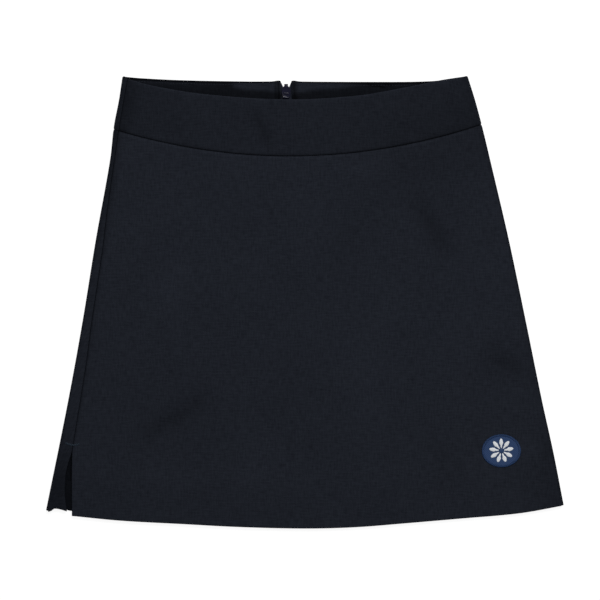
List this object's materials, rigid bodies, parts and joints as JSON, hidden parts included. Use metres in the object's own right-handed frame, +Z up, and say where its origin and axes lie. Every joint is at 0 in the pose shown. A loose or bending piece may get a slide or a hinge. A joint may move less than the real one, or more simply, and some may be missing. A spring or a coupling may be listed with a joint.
{
  "type": "A-line skirt with a shaped waistband and side slits",
  "caption": "Short A-line skirt laid flat on its back, with a shaped waistband, side slits, turned-up hem and a centre back zip whose pull tab turns.",
  "frame": {"origin": "centre of the laid skirt's outline, on the surface that it lies on", "axes": "+Z up from the surface, out of the skirt's front; +X across the skirt to the wearer's left; +Y from the hem to the waist"},
  "size_m": [0.5176, 0.4526, 0.009],
  "materials": {
    "cloth": "matte",
    "facing": "matte",
    "zip_tape": "matte",
    "zip_coil": "satin",
    "zip_enamel": "satin"
  },
  "bodies": {
    "skirt": {"front_panel": "cloth", "back_panel_left": "cloth", "back_panel_right": "cloth", "waistband_front": "cloth", "waistband_back_left": "cloth", "waistband_back_right": "cloth", "facing_back_left": "facing", "facing_back_right": "facing", "zip_tape_left": "zip_tape", "zip_tape_right": "zip_tape", "zip_coil_left": "zip_coil", "zip_coil_right": "zip_coil", "zip_slider": "zip_enamel"},
    "pull": {"zip_pull": "zip_enamel"}
  },
  "joints": [
    {"name": "pull_hinge", "type": "hinge", "parent": "skirt", "child": "pull", "pos_m": [-0.01875, 0.217, 0.00135], "axis": [1, 0, 0], "range_deg": [0, 165]}
  ]
}
